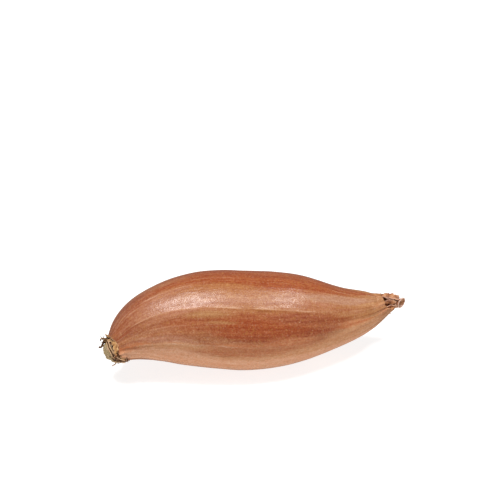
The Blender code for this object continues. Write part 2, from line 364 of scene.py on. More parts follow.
skin = {
    # the axis from the root collar to the mouth of the neck: x, y, z and radius, mm
    "stations": (
        (-40.0, -0.4, 12.4, 5.0), (-35.0, 1.9, 14.3, 8.6), (-28.0, 3.7, 15.9, 11.7),
        (-18.0, 4.3, 16.6, 14.5), (-7.0, 3.1, 16.5, 16.1), (4.0, 1.0, 15.9, 16.2),
        (15.0, -0.6, 15.8, 15.2), (26.0, -1.5, 15.3, 12.3), (36.0, -1.6, 15.0, 8.7),
        (44.0, -1.1, 15.5, 5.8), (48.5, -0.7, 16.2, 3.7), (52.0, -0.5, 17.1, 2.4),
    ),
    "shift": (-4.906, -1.630, -0.4),  # moves the stations onto the frame, mm
    "rows": 176, "columns": 520,
    "lobes": ((2, 0.012, 0.5), (3, 0.010, 2.1), (5, 0.006, 4.0)),  # waves round, share of radius, phase
    "rootTwist": (30.0, 7.0), "neckTwist": (-6.0, 40.0, 80.0),  # degrees and mm along
    # creases: degrees round, degrees gained per mm, first and last mm along, strength
    "ridges": (
        (10, 0.03, 3, 70, 0.7), (54, 0.02, 2, 60, 0.6), (100, 0.06, 2, 29, 0.55),
        (131.5, 0.06, 2, 66, 0.9), (177.5, 0.01, 2, 46, 0.6), (217, -0.03, 4, 50, 0.6),
        (254, 0.04, 2, 72, 0.8), (292, -0.02, 3, 40, 0.6), (330, 0.03, 2, 62, 0.8),
    ),
    # softer lines between them
    "lines": (
        (90, 0.05, 4, 40, 0.35), (97, 0.02, 22, 62, 0.30), (107, 0.04, 3, 16, 0.45),
        (117, 0.05, 2, 12, 0.30), (142, 0.10, 3, 20, 0.22), (152, 0.04, 4, 36, 0.35),
        (162, 0.05, 3, 24, 0.30), (170, 0.03, 2, 18, 0.20), (188, 0.02, 6, 30, 0.25),
        (198, -0.02, 14, 32, 0.35), (235, 0.02, 3, 34, 0.40), (275, 0.03, 3, 44, 0.35),
        (312, 0.02, 4, 30, 0.40), (350, -0.02, 3, 46, 0.35), (32, 0.03, 3, 30, 0.40),
        (76, 0.02, 4, 56, 0.30),
    ),
    "ridgeHeight": 0.12, "ridgeWidth": 0.55,
    "flats": (0.10, 0.20),  # how deep the skin lies between creases, at the belly and at the ends, mm
    "veins": 60, "veinHeight": 0.030, "veinWidth": 0.22,
    "rootVeins": 36, "rootVeinHeight": 0.05, "rootVeinReach": 13.0,
    "neckVeins": 60, "neckVeinHeight": 0.07, "neckVeinReach": 15.0,
    "puckers": 19, "puckerDepth": 0.22, "puckerReach": 4.2,
    "pleats": 18, "pleatDepth": 0.26, "pleatReach": 5.5,
    # slanted folds near the neck: mm along and degrees at each end, depth
    "folds": ((90.3, 60, 85.6, 146, 0.10), (91.8, 62, 88.2, 130, 0.06), (88.2, 68, 83.0, 126, 0.05)),
    # dents: mm along, degrees round, both half widths, depth
    "dents": ((3.5, 95, 4.0, 38, 0.45), (4.0, 235, 6.0, 30, 0.45)),
    # how far the lip turns out, from and to in mm along, middle and half width in degrees
    "flare": (0.55, 87.6, 90.2, 95, 42),
    # unevenness: height, size, how much the distance along counts, how many waves
    "lumps": ((0.13, 26, 1.0, 9), (0.045, 8, 0.6, 9), (0.014, 1.7, 0.3, 14)),
    "lip": (  # degrees round, and how far the mouth's lip is torn back there, mm
        (0, -0.2), (30, -0.5), (52, -0.4), (62, 1.8), (70, 3.3), (101, 3.9), (144, 3.9), (163, 3.2),
        (191, 1.8), (205, 0.6), (232, 1.0), (262, 0.3), (300, 0.1), (335, 0.2),
    ),
    # degrees round, and how far the skin runs on past the root collar there, mm
    "rootLip": (
        (70, 0.0), (112, 0.0), (124, 0.3), (137, 1.3), (149, 2.1), (160, 2.0), (175, 1.6), (190, 1.0),
        (210, 0.3), (235, 0.0), (300, 0.3),
    ),
    "edge": 0.32,  # thickness of the free edge
    "recess": (1.7, 4.3),  # seat of the root plate: depth and radius
    "mouthDepth": 3.3,
    "grainRadius": 12.0,
    # where the colour drifts: the colour, then mm along, degrees round, half length in mm, half width
    # in degrees and strength of each patch; later ones cover earlier ones
    "zones": {
        "rosy": (
            (0.356, 0.134, 0.064), (8, 122, 16, 28, 1.2), (16, 150, 10, 12, 0.6), (12, 0, 22, 70, 0.9),
            (14, 270, 18, 30, 0.8),
        ),
        "amber": (
            (0.41, 0.152, 0.060), (1, 115, 3.5, 40, 1.0), (1, 230, 4, 60, 0.8), (1, 20, 4, 60, 0.8),
            (89, 160, 4, 11, 1.1),
        ),
        "dusty": (
            (0.43, 0.178, 0.098), (9, 168, 15, 7, 0.8), (21, 134, 9, 5, 0.9), (79, 136, 7, 8, 0.5),
            (20, 176, 9, 5, 0.7), (66, 124, 8, 7, 0.5), (16, 230, 20, 12, 0.6), (70, 20, 12, 12, 0.6),
        ),
        "belt": (
            (0.315, 0.088, 0.032), (46, 153, 22, 13, 1.5), (67, 152, 8, 10, 0.8), (24, 150, 10, 8, 0.6),
            (40, 36, 34, 22, 1.2), (56, 296, 28, 18, 1.2),
        ),
        "deep": (
            (0.305, 0.068, 0.021), (50, 163, 17, 9, 1.4), (44, 151, 12, 5, 0.8), (46, 30, 22, 10, 1.0),
            (60, 290, 18, 9, 1.0),
        ),
        "brick": (
            (0.290, 0.080, 0.034), (60, 145, 9, 7, 1.1), (36, 274, 18, 8, 0.9), (24, 40, 12, 8, 0.6),
            (5, 88, 10, 24, 1.4), (2, 136, 7, 18, 0.8), (25, 146, 6, 5, 0.4), (74, 131, 6, 5, 0.6),
        ),
        "red": (
            (0.295, 0.066, 0.018), (53, 95, 24, 12.5, 1.4), (24, 91, 12, 5, 0.8), (77, 84, 9, 8, 1.0),
            (52, 79, 26, 8, 1.2), (30, 350, 28, 16, 1.1), (45, 62, 30, 13, 1.0),
        ),
        "tan": (
            (0.48, 0.166, 0.066), (46, 184, 24, 10, 1.3), (3, 182, 6, 16, 1.0), (77, 160, 7, 8, 1.0),
            (58, 171, 8, 5, 0.6), (40, 238, 30, 9, 1.1), (34, 322, 24, 12, 1.0),
        ),
        "wheat": (
            (0.57, 0.260, 0.120), (79, 178, 9, 13, 1.5), (88, 134, 4, 9, 0.9), (68, 190, 13, 9, 1.2),
            (18, 181, 14, 6, 1.1), (46, 198, 24, 7, 1.0), (74, 240, 12, 20, 1.0),
        ),
        # the pale lower rim is partly the skin's own tan and partly painted reflection of the pale floor
        "pale": (
            (0.645, 0.320, 0.180), (28, 214, 50, 14, 1.6), (13, 194, 15, 9, 1.1), (66, 206, 18, 9, 1.0),
            (28, 322, 16, 6, 0.7),
        ),
        "gold": (
            (0.335, 0.118, 0.039), (46, 134, 15, 6, 0.8), (46, 118, 16, 8, 0.9), (30, 112, 10, 9, 1.2),
            (28, 60, 16, 5, 0.6), (48, 55, 16, 5, 0.6), (40, 108, 8, 6, 0.7), (60, 52, 16, 7, 0.7),
        ),
        "olive": (
            (0.360, 0.155, 0.060), (31, 141, 9, 5, 1.0), (35, 151, 7, 2.5, 0.7),
            (44, 262, 16, 7, 0.9),
        ),
        "misty": (
            (0.42, 0.208, 0.125), (76, 112, 9, 10, 1.2), (64, 116, 5, 6, 0.7), (86, 100, 5, 8, 0.2),
            (78, 330, 10, 14, 0.8),
        ),
    },
}
skinAt, skinLength = splineThrough(skin["stations"])


def skinAxes(along):
    # centre, the stations' radius, and the axes across and along
    value, slope = skinAt(along)
    centre = value[..., :3] + np.array(skin["shift"])
    way = unit(slope[..., :3])
    side = unit(np.cross((0.0, 0.0, 1.0), way))
    return centre, value[..., 3], side, np.cross(way, side), way


def skinRing(along, angle, radius):
    # points at a radius from the axis; angle 0 is the far side, a quarter turn the top
    centre, _, side, upright, _ = skinAxes(along)
    spoke = np.cos(angle)[..., None] * side + np.sin(angle)[..., None] * upright
    return centre + radius[..., None] * spoke


def skinAngle(along, angle):
    # the angle that ridges and veins keep to: they wind a little near both ends
    rootTurn, reach = skin["rootTwist"]
    neckTurn, first, last = skin["neckTwist"]
    return angle + np.radians(rootTurn * np.exp(-along / reach) + neckTurn * smooth(first, last, along))


def creased(radius, vein, along, veinAngle, girth):
    # creases and softer lines: each a narrow bell, fading out at both ends, with a dip just below it in
    # the second value that is painted shade under the crease
    for number, (ridge, drift, first, last, strong) in enumerate(skin["ridges"] + skin["lines"]):
        middle = np.radians(ridge + drift * along + 0.6 * waves(40 + number, 24, along))
        strength = strong * smooth(first - 3, first + 3, along) * smooth(last + 8, last - 8, along)
        strength = strength * (0.75 + 0.35 * waves(60 + number, 11, along))
        gap = between(middle, veinAngle) * girth
        radius = radius + skin["ridgeHeight"] * strength * bell(gap, skin["ridgeWidth"])
        vein = vein + strength * (1.15 * bell(gap, 0.24) - 0.24 * bell(gap - 0.7, 0.4))
    return radius, vein


def veined(radius, vein, along, veinAngle, girth, random):
    # fine veins all round, then shorter ones that run in from each end and die away
    for number in range(skin["veins"]):
        middle, height = random.uniform(0, turn), random.uniform(0.4, 1.0)
        wander = np.radians(1.3) * waves(100 + number, 34, along)
        strength = height * smooth(-0.5, 0.9, waves(200 + number, 55, along))
        line = bell(between(middle + wander, veinAngle) * girth, skin["veinWidth"]) * strength
        radius = radius + skin["veinHeight"] * line
        vein = vein + 0.30 * line
    for end, away, wide, shown in (("root", along, 0.36, 0.45), ("neck", skinLength - along, 0.20, 0.9)):
        for number in range(skin[end + "Veins"]):
            middle, height = random.uniform(0, turn), random.uniform(-0.9, 1.0)
            reach = skin[end + "VeinReach"] * random.uniform(0.4, 1.5)
            wander = np.radians(2.0) * waves(300 + number, 20, along)
            gap = between(middle + wander, veinAngle) * girth
            # a negative height sinks the vein in and marks it dark: painted shade along its groove
            line = bell(gap, wide) * height * bell(away, reach)
            radius = radius + skin[end + "VeinHeight"] * line
            vein = vein + shown * line
    return radius, vein


def gathered(radius, pleat, along, veinAngle, girth, random):
    # puckers drawn in at the collar, and the pleats of the pinched neck, each beside a raised edge
    for number in range(skin["puckers"]):
        middle = turn * (number + random.uniform(-0.3, 0.3)) / skin["puckers"]
        depth, reach = random.uniform(0.5, 1.2), skin["puckerReach"] * random.uniform(0.6, 1.5)
        fold = bell(between(middle, veinAngle) * girth, 0.5)
        radius = radius - skin["puckerDepth"] * depth * fold * np.exp(-np.maximum(along, 0) / reach)
        # painted shade, marked where each pucker draws the skin in
        pleat = pleat + 0.35 * depth * fold * np.exp(-np.maximum(along, 0) / reach)
    for number in range(skin["pleats"]):
        middle = turn * (number + random.uniform(-0.3, 0.3)) / skin["pleats"]
        depth, reach = random.uniform(0.4, 1.2), skin["pleatReach"] * random.uniform(0.6, 1.5)
        drift = np.radians(random.uniform(-26, 26)) * np.exp((along - skinLength) / 5)
        gap = between(middle + drift, veinAngle) * girth
        fold = (bell(gap, 0.42) - 0.5 * bell(gap - 0.7, 0.4)) * np.exp((along - skinLength) / reach)
        radius = radius - skin["pleatDepth"] * depth * fold
        # painted shade in each pleat's hollow, and a painted highlight on the raised edge beside it
        pleat = pleat + 0.65 * depth * fold
    return radius, pleat


def folded(radius, pleat, along, angle):
    # slanted folds near the neck, then broad dents
    for highAt, highSide, lowAt, lowSide, deep in skin["folds"]:
        down = (np.degrees(angle) % 360 - highSide) / (lowSide - highSide)
        slant = along - highAt - (lowAt - highAt) * down - 0.4 * waves(17, 1.8, 3 * angle)
        held = smooth(-0.15, 0.15, down) * smooth(1.25, 0.7, down)
        fold = held * (bell(slant, 0.5) - 0.9 * bell(slant + 0.9, 0.6))
        radius = radius - deep * fold
        # painted shade in each fold's hollow, and a painted highlight on its raised side
        pleat = pleat + 1.8 * deep * fold
    for middle, side, long, wide, deep in skin["dents"]:
        gap = between(np.radians(side), angle)
        radius = radius - deep * bell(along - middle, long) * bell(gap, np.radians(wide))
    return radius, pleat


def skinRelief(along, angle):
    # radius in mm, how strongly a raised vein runs through each point, less where painted shade lies just
    # under a crease or along a sunken vein, and how deep a fold is there, which sets painted shade in its
    # hollow and a painted highlight on its raised edge: the girth with its lobes, less the flats between
    # creases, then everything above, the flared lip and the lumps
    girth = skinAxes(np.maximum(along, 0))[1] - 0.10 * np.maximum(-along, 0)
    veinAngle = skinAngle(along, angle)
    radius = girth * (1 + sum(share * np.cos(n * angle + phase) for n, share, phase in skin["lobes"]))

    ridges = np.radians([ridge[0] for ridge in skin["ridges"]])
    place = veinAngle % turn
    after = np.searchsorted(ridges, place) % len(ridges)
    low, high = ridges[after - 1], ridges[after]
    share = ((place - low) % turn) / ((high - low) % turn)
    ends = np.exp(-along / 12) + np.exp((along - skinLength) / 14)
    belly, tips = skin["flats"]
    flatDepth = (belly + (tips - belly) * np.clip(ends, 0, 1)) * smooth(0, 5, along)
    radius = radius - flatDepth * (np.sin(np.pi * share) - 0.6)

    random = np.random.default_rng(11)
    vein, pleat = np.zeros_like(radius), np.zeros_like(radius)
    radius, vein = creased(radius, vein, along, veinAngle, girth)
    radius, vein = veined(radius, vein, along, veinAngle, girth, random)
    radius, pleat = gathered(radius, pleat, along, veinAngle, girth, random)
    radius, pleat = folded(radius, pleat, along, angle)

    wide, first, last, middle, side = skin["flare"]
    turned = bell(between(np.radians(middle), angle), np.radians(side))
    radius = radius + wide * turned * (smooth(first, last, along) - 0.35 * bell(along - first + 0.4, 1.2))
    roundX, roundY = skin["grainRadius"] * np.cos(veinAngle), skin["grainRadius"] * np.sin(veinAngle)
    for number, (high, size, share, count) in enumerate(skin["lumps"], 1):
        radius = radius + high * waves(number, size, roundX, roundY, share * along, count=count)
    return radius, vein, pleat


def tornLip(angle):
    # how far the mouth's lip is torn back, mm: between the rows of the table, plus waves of two sizes
    round3 = 3 * np.cos(angle), 3 * np.sin(angle)
    places, depths = np.array(skin["lip"]).T
    torn = np.interp(np.degrees(angle) % 360, places, depths, period=360)
    return torn + 0.16 * waves(7, 0.9, *round3) + 0.22 * waves(8, 2.4, *round3)


def rootLip(angle):
    # how far the skin runs on past the root collar, mm: between the rows of the table, plus waves
    places, lengths = np.array(skin["rootLip"]).T
    reach = np.interp(np.degrees(angle) % 360, places, lengths, period=360)
    return reach + 0.16 * waves(9, 1.3, 5 * np.cos(angle), 5 * np.sin(angle))


def ringSpacing(rows):
    # shares of the length, closer together at both ends
    share = np.linspace(0, 1, rows)
    return 0.5 * share + 0.5 * (1 - np.cos(np.pi * share)) / 2


def patch(along, angle, middle, side, long, wide, strength):
    # a soft oval patch: a bell curve along times one round
    across = bell(between(np.radians(side), angle), np.radians(wide))
    return strength * bell((along - middle) / long, 1.0) * across


def unrolled(rows, columns):
    # the corners of closedLoft's faces laid out flat, as shares of a square
    row, column = np.indices((rows - 1, columns))
    quads = np.stack((column, row, column + 1, row, column + 1, row + 1, column, row + 1), axis=-1)
    step, start, end = np.arange(columns), np.zeros(columns), np.full(columns, rows - 1)
    first = np.stack((step + 0.5, start - 1, step + 1, start, step, start), axis=-1)
    final = np.stack((step + 0.5, end + 1, step, end, step + 1, end), axis=-1)
    corners = np.concatenate([faces.reshape(-1, 2) for faces in (quads, first, final)])
    return (corners + (0, 1)) / (columns, rows + 1)


def mouthRings(along, angle, radius, torn):
    # from the lip round its edge and down into the mouth, which narrows as it goes
    down = np.array((0.04, 0.1, 0.2, 0.35, 0.5, 0.65, 0.8, 0.92, 1.0))[:, None]
    depth = along - 0.12 - (skin["mouthDepth"] - torn * 0.6) * down**1.5
    narrow = radius - skin["edge"] * np.minimum(1, 0.55 + down * 6) - 0.9 * down**2
    return skinRing(depth, angle, np.maximum(narrow, 1.2))


def seatRings(angle, collar, past):
    # from the seat of the root plate up to the collar's edge
    seatDepth, seatRadius = skin["recess"]
    steps = np.array((1.0, 0.9, 0.6, 0.2, 0.0))[:, None]
    along = 0.1 - past * (1 - steps) + seatDepth * steps
    wall = collar - skin["edge"]
    return skinRing(along, angle, np.minimum(wall, seatRadius + (wall - seatRadius) * (1 - steps)))


def buildSkin():
    # one closed loft: the seat of the root plate, the outside from the collar to the lip, and the mouth
    columns = skin["columns"]
    angle = np.linspace(0, turn, columns, endpoint=False)[None, :]
    torn, past = tornLip(angle), rootLip(angle)
    share = ringSpacing(skin["rows"])[:, None]
    along = skinLength * share - torn * share**14 - past * (1 - share) ** 24
    radius, vein, pleat = skinRelief(along, angle)
    outside = skinRing(along, angle, radius)
    inside = mouthRings(along[-1:], angle, radius[-1:], torn)
    seat = seatRings(angle, radius[:1], past)
    rings = np.concatenate((seat, outside, inside))
    rings[..., 2] = np.maximum(rings[..., 2], 0.0)  # the belly is pressed flat where it rests

    def grown(middle, first, last):
        # a field of the outside, carried on over the seat and the mouth
        ends = np.full((len(seat), columns), first), np.full((len(inside), columns), last)
        return np.concatenate((ends[0], middle, ends[1]))

    alongAll = grown(along, 0.0, skinLength)
    veinAngle = skinAngle(alongAll, angle)
    wide = skin["grainRadius"]
    grain = [hubbed(v) for v in (wide * np.cos(veinAngle), wide * np.sin(veinAngle), alongAll)]
    fields = {"grain": np.stack(grain, axis=-1), "vein": hubbed(grown(vein, 0.0, 0.0))}
    fields["pleat"] = hubbed(grown(pleat, 0.0, 0.0))
    fields["inside"] = hubbed(grown(0 * along, 1.0, 1.0))
    for zone, (_, *spots) in skin["zones"].items():
        fields[zone] = hubbed(sum(patch(alongAll, veinAngle, *spot) for spot in spots))
    points, faces = closedLoft(rings)
    corners = unrolled(*rings.shape[:2])
    return addPiece("drySkin", points, faces, fields, drySkin, "dry_skin", ("bulb",), corners)


def drySkinMaterial():
    material, start = newMaterial("drySkin")
    grain = start.field("grain", 1)
    along = start.node("SeparateXYZ", {}, {0: grain}, out=2)
    broad = grain.stretched(1, 1, 0.12).noise(0.16, 2.0, 0.5)
    bands = grain.stretched(1, 1, 0.06).moved(7, 3, 1).noise(0.55, 3.0, 0.6)
    streaks = grain.stretched(1, 1, 0.07).moved(2, 9, 4).noise(1.6, 4.0, 0.65)
    threads = grain.stretched(1, 1, 0.09).moved(5, 1, 8).noise(4.2, 3.0, 0.7)
    clouds = start.place().noise(170.0, 4.0, 0.65)
    mottle = start.place().noise(750.0, 3.0, 0.7)
    speckle = start.place().moved(1, 2, 3).noise(1900.0, 2.0, 0.7)
    freckle = start.place().moved(4, 2, 7).noise(1250.0, 2.0, 0.6)
    dust = start.place().moved(9, 5, 3).noise(1500.0, 2.0, 0.7)
    flecks = grain.stretched(1, 1, 0.4).noise(2.4, 1.0, 0.5)

    copper, straw = (0.360, 0.132, 0.054), (0.40, 0.178, 0.066)
    cream, dark = (0.60, 0.34, 0.21), (0.20, 0.055, 0.022)
    colour = flat(start, copper).mixed(skin["zones"]["belt"][0], broad.ramp(0.50, 0.70, 0.0, 0.5))
    colour = colour.mixed(straw, along.ramp(3.0, 0.2, 0.0, 0.3) + along.ramp(66.0, 84.0, 0.0, 0.75))
    for zone, (paint, *_) in skin["zones"].items():
        # each patch's border is broken up by the bands and the clouds
        share = start.field(zone) + (bands - 0.5) * 0.45 + (clouds - 0.5) * 0.45
        colour = colour.mixed(paint, share.ramp(0.15, 0.80, 0.0, 0.95))
    vein, pleat = start.field("vein"), start.field("pleat")
    # paler along raised veins, their own colour, and a painted highlight on the raised edge of each fold
    colour = colour.mixed(cream, vein.ramp(0.0, 1.0, 0.0, 0.62) + pleat.ramp(0.0, -0.5, 0.0, 0.30))
    # painted shade: darker just under each crease, along sunken veins and in the hollow of each fold
    colour = colour.mixed(dark, vein.ramp(0.0, -0.5, 0.0, 0.45) + pleat.ramp(0.1, 1.0, 0.0, 0.55))
    speckled = start.field("brick").ramp(0.0, 0.6, 0.10, 1.0)
    colour = colour.mixed((0.66, 0.42, 0.27), flecks.ramp(0.70, 0.80, 0.0, 0.5) * speckled)
    # painted light: the inside of the mouth and the seat take one warm brown, kept light to stand in for
    # light that comes through the thin skin
    colour = colour.mixed((0.46, 0.20, 0.090), start.field("inside") * 0.9)
    # the thickness of the pigment: dots, blotches, threads and streaks; the colour is raised to its power
    fine = (speckle - 0.5) * 0.72 + (mottle - 0.5) * 0.42
    pigment = fine + 1.0 + (threads - 0.5) * 0.48 + (streaks - 0.5) * 0.52 + (bands - 0.5) * 0.42
    colour = colour.node("Gamma", {}, {0: colour, 1: pigment})
    colour = colour.mixed((0.40, 0.18, 0.045), freckle.ramp(0.52, 0.70, 0.0, 0.36))
    colour = colour.mixed((0.58, 0.34, 0.24), dust.ramp(0.56, 0.72, 0.0, 0.26))

    rough = mottle.ramp(0.3, 0.7, 0.25, 0.35) + streaks.ramp(0.3, 0.7, -0.02, 0.03)
    rough = rough + along.ramp(76.0, 88.0, 0.0, 0.18)  # the dry neck is the dullest
    height = speckle * 0.55 + mottle * 0.6 + threads * 0.2 + streaks * 0.3
    normal = start.bump(height, 0.00009)
    return surface(material, Base_Color=colour, Roughness=rough, Normal=normal, Specular_IOR_Level=0.36)


drySkin = drySkinMaterial()
buildSkin()


def endFrame(along, outward):
    # the axis point at one end, and its x, y and z axes: z points out of the bulb and y upwards
    centre, _, _, upright, way = skinAxes(np.array(along))
    axis = way * outward
    return centre, np.stack((np.cross(upright, axis), upright, axis))


def placed(frameOfEnd, *axes):
    # points from x, y and z in mm in the frame of an end
    centre, rows = frameOfEnd
    return centre + np.stack(np.broadcast_arrays(*axes), axis=-1) @ rows


def roundEnd(frameOfEnd, clock, radius, height):
    # points round an end: the clock angle runs from the x axis to the y axis
    return placed(frameOfEnd, radius * np.cos(clock), radius * np.sin(clock), height)


rootEnd = endFrame(0.0, -1)
neckEnd = endFrame(skinLength, 1)


plate = {
    "profile": (  # height over the collar and radius, mm
        (-1.3, 3.6), (-0.3, 3.8), (0.8, 3.95), (1.6, 3.9), (2.3, 3.7), (2.9, 3.35), (3.4, 2.7),
        (3.75, 1.9), (3.9, 1.0), (3.95, 0.05),
    ),
    "rows": 96, "columns": 210,
    "lumps": ((2.6, 0.26), (1.2, 0.15), (0.55, 0.07), (0.28, 0.03)),  # size and height, mm
    "scars": 24, "scarSize": 0.30, "scarHeight": 0.17,
    "bump": (215, 2.2, 0.35, 1.4),  # a swelling of the face: clock in degrees, radius, height and size
}


def buildPlate():
    # a turned profile, its side pushed outwards and its face upwards by four sizes of waves and by scars
    heights, radii = np.array(plate["profile"]).T
    share = np.linspace(0, 1, len(heights))
    row = np.linspace(0, 1, plate["rows"])[:, None]
    angle = np.linspace(0, turn, plate["columns"], endpoint=False)[None, :]
    height = np.interp(row, share, heights)
    radius = np.interp(row, share, radii)
    x, y, z = radius * np.cos(angle), radius * np.sin(angle), height + 0 * angle
    steep = smooth(0.45, 0.85, row)  # 0 on the side and 1 on the face
    push = sum(deep * waves(30 + n, size, x, y, z) for n, (size, deep) in enumerate(plate["lumps"]))
    random = np.random.default_rng(5)
    for _ in range(plate["scars"]):
        clock, away, up = random.uniform(0, turn), random.uniform(1.2, 3.9), random.uniform(1.0, 3.9)
        gap = np.sqrt((x - away * np.cos(clock)) ** 2 + (y - away * np.sin(clock)) ** 2 + (z - up) ** 2)
        way = random.choice((-1, 1))
        size = plate["scarSize"] * random.uniform(0.7, 1.6)
        push = push + plate["scarHeight"] * way * bell(gap, size)
    side, away, high, wide = plate["bump"]
    gap = np.hypot(x - away * np.cos(np.radians(side)), y - away * np.sin(np.radians(side)))
    push = push + high * bell(gap, wide)
    centre = np.minimum(1, (1 - row) * 8)
    out = radius + push * (1 - steep)
    rings = roundEnd(rootEnd, angle, out * np.where(radius < 0.1, 0.4, 1), z + push * steep * centre)
    points, faces = closedLoft(rings)
    wavy = height - 3.0 + 0.25 * waves(38, 3.0, 4 * angle)
    # painted highlight: a pale streak along the plate's shoulder, where light catches it, strongest at
    # clock 60 degrees
    shoulderHighlight = bell(wavy, 0.15) * (0.12 + 0.65 * bell(between(np.radians(60), angle), 0.75))
    fields = {"tone": hubbed(push), "rim": hubbed(shoulderHighlight), "depth": hubbed(height + 0 * angle)}
    return addPiece("rootPlate", points, faces, fields, rootCork, "root_cork", ("root_plate",))


def rootCorkMaterial():
    material, start = newMaterial("rootCork")
    place, tone, depth = start.place(), start.field("tone"), start.field("depth")
    patches = place.noise(900.0, 3.0, 0.6)
    crumbs = place.moved(3, 1, 2).noise(3200.0, 3.0, 0.7)
    veins = place.stretched(1.0, 2.4, 1.0).moved(1, 5, 1).noise(700.0, 2.0, 0.6, 0.8)
    khaki, pinkish, brown = (0.41, 0.30, 0.145), (0.58, 0.39, 0.26), (0.20, 0.10, 0.045)
    colour = flat(start, khaki).mixed((0.33, 0.24, 0.115), patches.ramp(0.45, 0.65, 0.0, 0.7))
    colour = colour.mixed(pinkish, veins.ramp(0.54, 0.66, 0.0, 0.75))
    # painted highlight on the plate's shoulder, broken up by the patches
    colour = colour.mixed((0.70, 0.47, 0.33), start.field("rim") * patches.ramp(0.30, 0.45, 0.3, 0.95))
    colour = colour.mixed(brown, tone.ramp(-0.16, -0.45, 0.0, 0.6))
    colour = colour.mixed(brown, depth.ramp(2.2, 0.2, 0.0, 0.85))
    colour = colour.mixed((0.64, 0.52, 0.36), crumbs.ramp(0.56, 0.70, 0.0, 0.5))
    colour = colour.mixed((0.15, 0.09, 0.045), crumbs.ramp(0.42, 0.28, 0.0, 0.6))
    normal = start.bump(crumbs + patches, 0.00012)
    return surface(material, Base_Color=colour, Roughness=0.85, Normal=normal)


rootCork = rootCorkMaterial()
buildPlate()


scraps = {
    # start and span in degrees, length, foot radius, foot height, lean and curl in degrees, and tint,
    # which runs from 0 dark to 1 pale
    "chosen": (
        (-40, 20, 1.2, 5.0, -0.2, 20, 30, 0.34),
        (-22, 16, 2.2, 5.0, 0.0, 30, 20, 0.10),
        (96, 22, 1.3, 5.0, 0.1, 30, 60, 0.70),
        (112, 14, 1.7, 5.0, 0.1, 62, 70, 0.78),
        (130, 15, 1.8, 5.0, 0.0, 70, 60, 0.66),
    ),
    # torn layers, each a ring of wide strips: how many, radius, foot, length from and to, lean, curl,
    # tint and how much of the skin's own lip is added to the foot
    "layers": (
        (7, 4.98, -0.15, 0.6, 0.9, 8, 40, 0.72, 1.0),
        (6, 4.76, -0.10, 1.0, 1.5, 2, 22, 0.34, 0.9),
        (6, 4.55, 0.00, 2.0, 2.6, -4, 14, 0.66, 0.7),
        (7, 4.28, 0.10, 2.8, 3.7, -8, 8, 0.32, 0.5),
        (14, 4.45, 0.00, 2.2, 3.8, -5, 24, 0.10, 0.5),
    ),
    "high": (14, 66),  # degrees: the layers stand highest here, and fall off over this width
    "thickness": 0.15, "flakeThickness": 0.16, "flakeSwell": 0.18,
    # a peeled strip that lies across them: its two borders as clock angle, radius and height
    "flake": (
        (
            (78, 5.0, 1.1), (68, 5.05, 1.45), (58, 5.05, 1.9), (47, 5.05, 2.4), (37, 5.0, 2.75),
            (26, 4.9, 2.95),
        ),
        (
            (70, 5.2, 0.35), (56, 5.3, 0.15), (48, 5.35, 0.4), (40, 5.35, 1.2), (32, 5.25, 2.0),
            (24, 5.0, 2.85),
        ),
    ),
    "replaced": tuple(f"collar_scrap_{n}" for n in range(1, 8)),
}


def scrap(seed, start, span, length, radius, foot, lean, curl, tint, raised=0.0):
    # a strip that stands on the collar and bends outwards evenly along its length, torn at its end
    arc = 5 * np.radians(span)
    rows, columns = 16, max(10, int(arc * 11))
    across = np.linspace(0, 1, columns)[None, :]
    up = np.linspace(0, 1, rows)[:, None]
    ragged = 0.6 * waves(seed, 1.5, arc * across) + 0.35 * waves(seed + 6, 0.5, arc * across)
    ends = smooth(0, min(0.5, 0.8 / arc), np.minimum(across, 1 - across))
    reach = length * np.clip(0.72 + 0.28 * ragged, 0.2, 1.1) * (0.25 + 0.75 * ends)
    first = np.radians(lean)
    bend = np.radians(curl) * (1 + 0.6 * waves(seed + 1, 1.8, arc * across)) + 1e-3
    gone = up * reach
    heading = first + bend * up
    out = radius + reach / bend * (np.cos(first) - np.cos(heading))
    clock = np.radians(start + span * across) + 0.05 * waves(seed + 2, 2.0, gone, arc * across)
    height = foot + rootLip(np.pi - clock) * raised + reach / bend * (np.sin(heading) - np.sin(first))
    crumple = 0.13 * waves(seed + 3, 1.0, 5 * clock, gone) + 0.06 * waves(seed + 4, 0.45, 5 * clock, gone)
    points = roundEnd(rootEnd, clock, out + crumple * smooth(0, 0.6, gone), height)
    thin = scraps["thickness"] * (1 - 0.4 * up) + 0 * across
    fields = {"edge": smooth(0.72, 1.0, up) + 0 * across, "gone": gone, "turned": 5 * clock}
    fields["tint"] = tint + 0.12 * waves(seed + 5, 1.2, 5 * clock, gone)
    return sheet(points, thin, **fields)


def flake():
    # straight lines from one border of the peeled strip to the other, bulging by half a sine wave
    rows, columns = 30, 24
    down = np.linspace(0, 1, rows)
    sides = []
    for border in scraps["flake"]:
        share = np.linspace(0, 1, len(border))
        clock, radius, height = (np.interp(down, share, row) for row in np.array(border).T)
        radius = radius + 0.08 * waves(61, 0.5, down)
        height = height + 0.14 * waves(62, 0.35, down)
        sides.append(np.stack((np.radians(clock), radius, height), axis=-1))
    across = np.linspace(0, 1, columns)[None, :, None]
    place = sides[0][:, None] * (1 - across) + sides[1][:, None] * across
    wide, long = across[..., 0], down[:, None]
    clock, radius, height = np.moveaxis(place, -1, 0)
    swell = scraps["flakeSwell"] * np.sin(np.pi * wide) + 0.14 * waves(63, 1.0, 5 * clock, height)
    points = roundEnd(rootEnd, clock, radius + swell, height)
    fields = {"gone": 2 + 0 * wide * long, "turned": 5 * clock}
    fields["edge"] = bell(np.minimum(wide, 1 - wide), 0.10) + 0 * long
    fields["tint"] = 0.56 + 0.14 * waves(64, 1.3, 5 * clock, height)
    return sheet(points, scraps["flakeThickness"], **fields)


